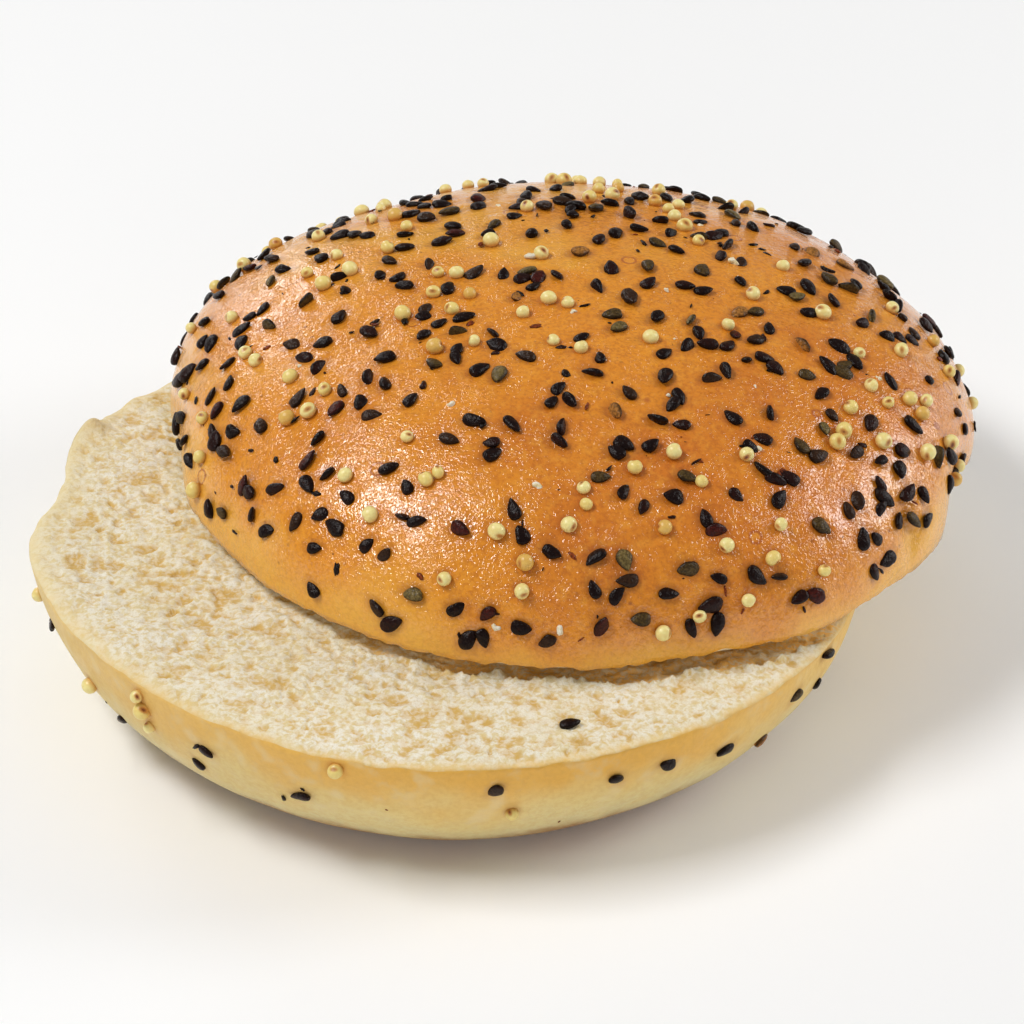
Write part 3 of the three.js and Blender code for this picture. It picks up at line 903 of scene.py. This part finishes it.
def scalloped(points, angle, felt):
    """Points of the heel moved in and out as its torn rim is."""
    around = noise(BUN_RADIUS * way_out(angle), SCALLOPS["width"], SCALLOPS["number"])
    push = felt * SCALLOPS["reach"] * bump(TORN_SIDE, angle) * around
    moved = points.copy()
    moved[:, :2] *= (1 + push / BUN_RADIUS)[:, None]
    return moved


def heel_face(along, angle):
    """The heel's cut face with its crumb and rim; for each point its painted shade in pores and pockets, and
    its skin.
    """
    top = scalloped(heel_cut(along, angle), angle, ramp(along, SCALLOPS["cut_from"], 1))
    relief, pore_shade = crumb_relief(top)
    torn, pocket_shade = torn_relief(top)
    steep = np.maximum(RELIEF_END["steep"] - bump(SOFT_END, angle), RELIEF_END["least"])
    inside = np.clip((1 - along) * steep, 0, 1)
    skin_from = RIM_SKIN - bump(WIDE_SKIN, angle) - layers(top, SKIN_RAGGED)
    skin = ramp(along, skin_from, 1) ** 2
    rounded = ramp(along, RIM_ROUND["from"], 1) ** 2
    lifted = ramp(along, TORN_FROM, 1) ** 2 * (along < 1)
    ragged = layers(top, RIM_RAGGED)
    top[:, 2] += (relief + torn) * inside + ragged * (1 - inside) - RIM_ROUND["drop"] * rounded
    top[:, 2] += lifted * torn_up(angle)
    return top, pore_shade * inside, pocket_shade, skin


def heel_wall(levels, turns):
    """Points of the heel's side, without and with its unevenness."""
    felt = ramp(levels, SCALLOPS["side_from"], 1) ** 2
    wall = scalloped(heel_side(levels, turns), turns, felt)
    uneven = layers(wall, SIDE_UNEVEN) * ramp(levels, 0, SIDE_EVEN)
    return wall, wall + way_out(turns) * uneven[:, None]


def make_heel(seeds, side, crumb):
    around = 6 * HEEL_RINGS
    along, angle = disc_grid(HEEL_RINGS)
    top, pore_shade, pocket_shade, skin = heel_face(along, angle)
    levels = np.repeat(np.arange(HEEL_ROWS) / HEEL_ROWS, around)
    turns = np.tile(TURN * np.arange(around) / around, HEEL_ROWS)
    smooth, wall = heel_wall(levels, turns)
    near = seed_touch(smooth, seeds)
    base_middle = np.zeros((1, 3))
    points = np.concatenate([top, wall, base_middle])
    cut = disc_faces(HEEL_RINGS)
    row_starts = [len(top) + row * around for row in range(HEEL_ROWS)] + [ring_start(HEEL_RINGS)]
    bands = [band_faces(low, high, around) for low, high in zip(row_starts, row_starts[1:])]
    base = fan_faces(len(points) - 1, len(top), around)
    faces = np.concatenate([cut, *bands, base])
    kinds = np.concatenate([np.ones(len(cut)), np.zeros(len(faces) - len(cut))])

    def all_over(on_cut, on_wall):
        return np.concatenate([np.broadcast_to(on_cut, len(top)), np.broadcast_to(on_wall, len(wall)), [0.0]])

    place_round = all_over(angle, turns)
    values = {
        "pore_shade": all_over(pore_shade, 0),
        "pocket_shade": all_over(pocket_shade, 0),
        "edge": all_over(skin, 0),
        "up": all_over(1, levels),
        "gold": 1 - sum(bump(place, place_round) for place in PALE_SIDES),
        "torn": bump(TORN_SIDE, place_round),
        "seed_near": all_over(0, near),
    }
    piece = make_piece("heel_bread", points, faces, [side, crumb], kinds, values)
    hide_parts("heel")


# The seeds' own meshes

def pick_tone(tones, draw):
    return np.array(shade(next(colour for limit, colour in tones if draw <= limit))[:3])


def round_grid(rows, around):
    """A ball as rows of points from one pole to the other along X, and its faces."""
    tilt = np.repeat(math.pi * np.arange(1, rows) / rows, around)
    turn = np.tile(TURN * np.arange(around) / around, rows - 1)
    body = np.stack([-np.cos(tilt), np.sin(tilt) * np.cos(turn), np.sin(tilt) * np.sin(turn)], -1)
    points = np.concatenate([body, [[-1.0, 0, 0], [1.0, 0, 0]]])
    starts = np.arange(rows - 1) * around
    faces = [band_faces(low, high, around)[:, ::-1] for low, high in zip(starts, starts[1:])]
    faces.append(fan_faces(len(body), 0, around)[:, ::-1])
    faces.append(fan_faces(len(body) + 1, starts[-1], around))
    return points, np.concatenate(faces)


def sesame_shape():
    """A teardrop of half-length 1, half-width 1 and half-thickness 1, its tip along +X."""
    form = SESAME_OUTLINE
    ball, faces = round_grid(*SESAME_GRID)
    x = ball[:, 0]
    across = np.sqrt(np.maximum(1 - x ** 2, TINY))
    turn = ball[:, 1:] / across[:, None]
    width = (1 + x) ** form["blunt_end"] * (1 - x) ** form["tip"]
    width = width / width.max()
    thick = np.maximum(1 - x ** 2, 0) ** form["back"] * (1 - form["thick_end"] * x)
    thick = thick / thick.max()
    ease = np.sign(turn) * np.abs(turn) ** form["square"]
    points = np.stack([x, width * ease[:, 0], thick * ease[:, 1]], -1)
    rim = np.clip(np.abs(turn[:, 0]), 0, 1) ** form["rim"]
    rim[-2:] = 1
    return points, faces, rim


def make_sesame(seeds, material):
    shape, faces, rim = sesame_shape()
    draw = np.random.default_rng(SESAME["draw"])
    half = 0.5 * np.array([SESAME["length"], SESAME["width"], SESAME["thickness"]])
    bodies = []
    tones = []
    for seed in seeds:
        body = shape * half * (seed["size"] * draw.uniform(*SESAME_STRETCH))
        dents = layers(body + draw.uniform(0, NOISE_APART, 3), SESAME_DENTS)
        body = body * (1 + dents)[:, None]
        from_middle = (body[:, 0] / half[0]) ** 2
        body[:, 2] += draw.normal(0, SESAME_BEND["up"]) * from_middle
        body[:, 1] += draw.normal(0, SESAME_BEND["aside"]) * from_middle
        lean = draw.normal(0, SESAME_TURN["lean"])
        roll = draw.normal(0, SESAME_TURN["roll"])
        if draw.random() < SESAME_ON_EDGE["share"]:
            roll = draw.uniform(*SESAME_ON_EDGE["roll"])
        body = body @ rotation(lean, "Y") @ rotation(-roll, "X")
        raised = SESAME_ON_EDGE["lift"] * abs(math.sin(roll))
        body[:, 2] += SESAME["proud"] * seed["size"] - body[:, 2].max() + raised
        bodies.append(body)
        tones.append(pick_tone(SESAME_TONES, draw.random()))
    values = {"rim": np.tile(rim, len(seeds))}
    join_seeds("sesame_seeds", bodies, seeds, faces, tones, values, material)


def litter(count, surface, rule, draw):
    """Random spots on a surface for broken bits: points and their axes."""
    spots = []
    while len(spots) < count:
        along = draw.uniform(rule["from"], rule["to"])
        angle = draw.uniform(0, TURN)
        if surface is crown_crust and draw.random() > dome_share(along):
            continue
        point = spot(surface, along, angle)
        spots.append({"point": point, "axes": seat(surface, along, angle, draw.uniform(0, TURN), point)})
    return spots


def make_chips(material):
    """Broken bits of dark seed skin."""
    form = CHIP_SHAPE
    ball, faces = round_grid(*CHIP_GRID)
    draw = np.random.default_rng(CHIPS["draw"])
    spots = [turned(place) for place in litter(CHIPS["crown"], crown_crust, CROWN_SEEDS, draw)]
    spots += litter(CHIPS["heel"], heel_side, HEEL_SEEDS, draw)
    bodies = []
    tones = []
    for _ in spots:
        length = CHIPS["longest"] * draw.uniform(*form["length"]) ** form["mostly_short"]
        size = 0.5 * length * np.array([1, draw.uniform(*form["width"]), draw.uniform(*form["thickness"])])
        body = ball * size * draw.uniform(*form["lumps"], (len(ball), 1))
        body[:, 2] += form["lift"] * length
        bodies.append(body)
        tones.append(pick_tone(CHIP_TONES, draw.random()))
    rim = np.zeros(len(ball) * len(spots))
    join_seeds("seed_chips", bodies, spots, faces, tones, {"rim": rim}, material)


def make_loose_crumbs(material):
    """Pale crumbs caught on the crust."""
    form = LOOSE_SHAPE
    ball, faces = round_grid(*LOOSE_GRID)
    draw = np.random.default_rng(LOOSE_CRUMBS["draw"])
    spots = [turned(place) for place in litter(LOOSE_CRUMBS["crown"], crown_crust, CROWN_SEEDS, draw)]
    bodies = []
    for _ in spots:
        radius = 0.5 * LOOSE_CRUMBS["largest"] * draw.uniform(*form["length"])
        size = radius * np.array([1, draw.uniform(*form["width"]), form["height"]])
        lumps = 1 + layers(ball + draw.uniform(0, NOISE_APART, 3), form["lumps"])
        body = ball * size * lumps[:, None]
        body[:, 2] += form["lift"] * size[2]
        bodies.append(body)
    white = np.ones((len(spots), 3))
    join_seeds("loose_crumbs", bodies, spots, faces, white, {}, material)


def germ_on(ball, draw):
    """How far each point of a grain lies in its germ, which is an oval that faces upwards or aside."""
    tilt = math.radians(draw.uniform(*GERM["tilt"]))
    turn = draw.uniform(0, TURN)
    level = math.sin(tilt)
    facing = np.array([level * math.cos(turn), level * math.sin(turn), math.cos(tilt)])
    length = np.cross(facing, draw.normal(0, 1, 3))
    length = length / np.linalg.norm(length)
    ahead = ball @ length
    aside = ball @ np.cross(facing, length)
    return np.exp(-(ahead / GERM["length"]) ** 2 - (aside / GERM["width"]) ** 2) * (ball @ facing > 0)


def make_millet(seeds, material):
    ball, faces = round_grid(*MILLET_GRID)
    # How much painted shade each point of a grain gets, growing towards its base
    low = ramp(ball[:, 2], *MILLET_SHADED_HEIGHTS)
    draw = np.random.default_rng(MILLET["draw"])
    bodies = []
    tones = []
    germs = []
    for seed in seeds:
        germ = germ_on(ball, draw)
        radius = 0.5 * MILLET["diameter"] * seed["size"]
        body = ball * radius * np.array([1, draw.uniform(*MILLET_WIDTHS), draw.uniform(*MILLET_HEIGHTS)])
        body = body * (1 - GERM["dent"] * germ)[:, None]
        body[:, 2] += MILLET["proud"] * seed["size"] - radius
        bodies.append(body)
        tones.append(pick_tone(MILLET_TONES, draw.random()))
        germs.append(germ * draw.uniform(*GERM["strength"]))
    values = {"germ": np.concatenate(germs), "low": np.tile(low, len(seeds))}
    join_seeds("millet_grains", bodies, seeds, faces, tones, values, material)


def join_seeds(name, bodies, places, faces, tones, values, material):
    """One piece of many small bodies of the same mesh, each at its place and in its tone."""
    points = [body @ place["axes"] + place["point"] for body, place in zip(bodies, places)]
    size = len(bodies[0])
    joined = (faces[None] + size * np.arange(len(bodies))[:, None, None]).reshape(-1, 3)
    make_piece(name, np.concatenate(points), joined, [material], values=values,
               colours={"tone": np.repeat(tones, size, axis=0)})


# Stage

def make_floor():
    s = Shader("pale_floor", **{"Base Color": shade(FLOOR_COLOUR), "Roughness": 0.9,
                                "Specular IOR Level": 0.1})
    mesh = bpy.data.meshes.new("floor")
    reach = FLOOR_REACH * MM
    corners = [(-reach, -reach, 0), (reach, -reach, 0), (reach, reach, 0), (-reach, reach, 0)]
    mesh.from_pydata(corners, [], [(0, 1, 2, 3)])
    mesh.materials.append(s.material)
    floor = new_object("floor", mesh)


def make_light(name, direction, distance, size, power, mirrored):
    """A soft rectangular light aimed at the bun, shown in its gloss or not."""
    data = bpy.data.lights.new(name, "AREA")
    data.shape = "RECTANGLE"
    data.size, data.size_y = size
    data.energy = power
    lamp = new_object(name, data)
    aim = Vector(direction).normalized()
    lamp.location = aim * distance + Vector(CAMERA_TARGET) * MM
    lamp.rotation_euler = aim.to_track_quat("Z", "Y").to_euler()
    lamp.visible_glossy = mirrored


def make_sky():
    world = bpy.data.worlds.new("studio")
    world.use_nodes = True
    background = world.node_tree.nodes["Background"]
    background.inputs["Color"].default_value = SKY_COLOUR
    background.inputs["Strength"].default_value = SKY_STRENGTH
    bpy.context.scene.world = world


def make_camera():
    data = bpy.data.cameras.new("camera")
    data.lens = CAMERA_LENS
    data.sensor_width = SENSOR_WIDTH
    camera = new_object("camera", data)
    azimuth = math.radians(CAMERA_AZIMUTH)
    elevation = math.radians(CAMERA_ELEVATION)
    level = math.cos(elevation)
    back = Vector((math.sin(azimuth) * level, -math.cos(azimuth) * level, math.sin(elevation)))
    camera.location = (Vector(CAMERA_TARGET) + back * CAMERA_DISTANCE) * MM
    camera.rotation_euler = back.to_track_quat("Z", "Y").to_euler()
    bpy.context.scene.camera = camera
    bpy.context.scene.view_settings.view_transform = "Standard"


crown_seeds = scatter(crown_crust, CROWN_SEEDS, dome_share)
heel_seeds = scatter(heel_side, HEEL_SEEDS, lambda along: 1.0)
crumb = crumb_material()
make_crown(crown_seeds, crust_material(), crumb)
make_heel(heel_seeds, side_material(), crumb)
all_seeds = [turned(seed) for seed in crown_seeds] + heel_seeds + [stray_seed()]
sesame_skin = sesame_material()
make_sesame([seed for seed in all_seeds if seed["kind"] == "sesame"], sesame_skin)
make_chips(sesame_skin)
make_loose_crumbs(crumb)
make_millet([seed for seed in all_seeds if seed["kind"] == "millet"], millet_material())
make_floor()
make_sky()
for light in LIGHTS:
    make_light(*light)
make_camera()
